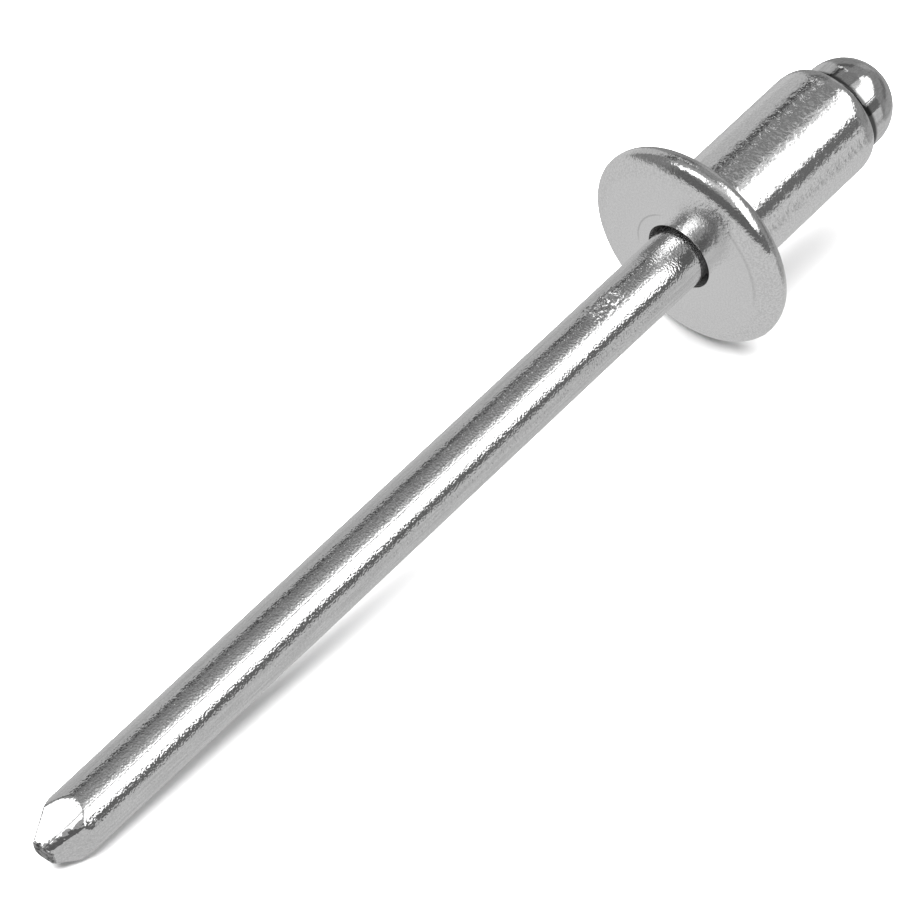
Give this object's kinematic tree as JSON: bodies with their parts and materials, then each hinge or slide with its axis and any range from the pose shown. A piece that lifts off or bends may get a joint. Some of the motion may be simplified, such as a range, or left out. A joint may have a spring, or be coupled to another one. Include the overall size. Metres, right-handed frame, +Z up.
{
  "type": "blind rivet",
  "caption": "Open-end blind rivet before setting: low domed flange and hollow sleeve, with a headed mandrel that ends in a pinched point. Lies on its flange's rim and its point.",
  "frame": {"origin": "centre of the rivet's footprint, on the surface that it lies on", "axes": "+Z up; +X along the rivet towards its blind end, so the point is at -X; the rivet's own axis lies in the XZ plane and drops 5.2 degrees towards the point"},
  "size_m": [0.0414, 0.0076, 0.0075],
  "materials": {
    "body": "bright as-formed aluminium alloy with a fine orange-peel grain",
    "mandrel": "bright zinc-plated steel wire with fine drawing lines"
  },
  "bodies": {
    "root": {"rivet_body": "body", "mandrel": "mandrel"}
  },
  "joints": []
}
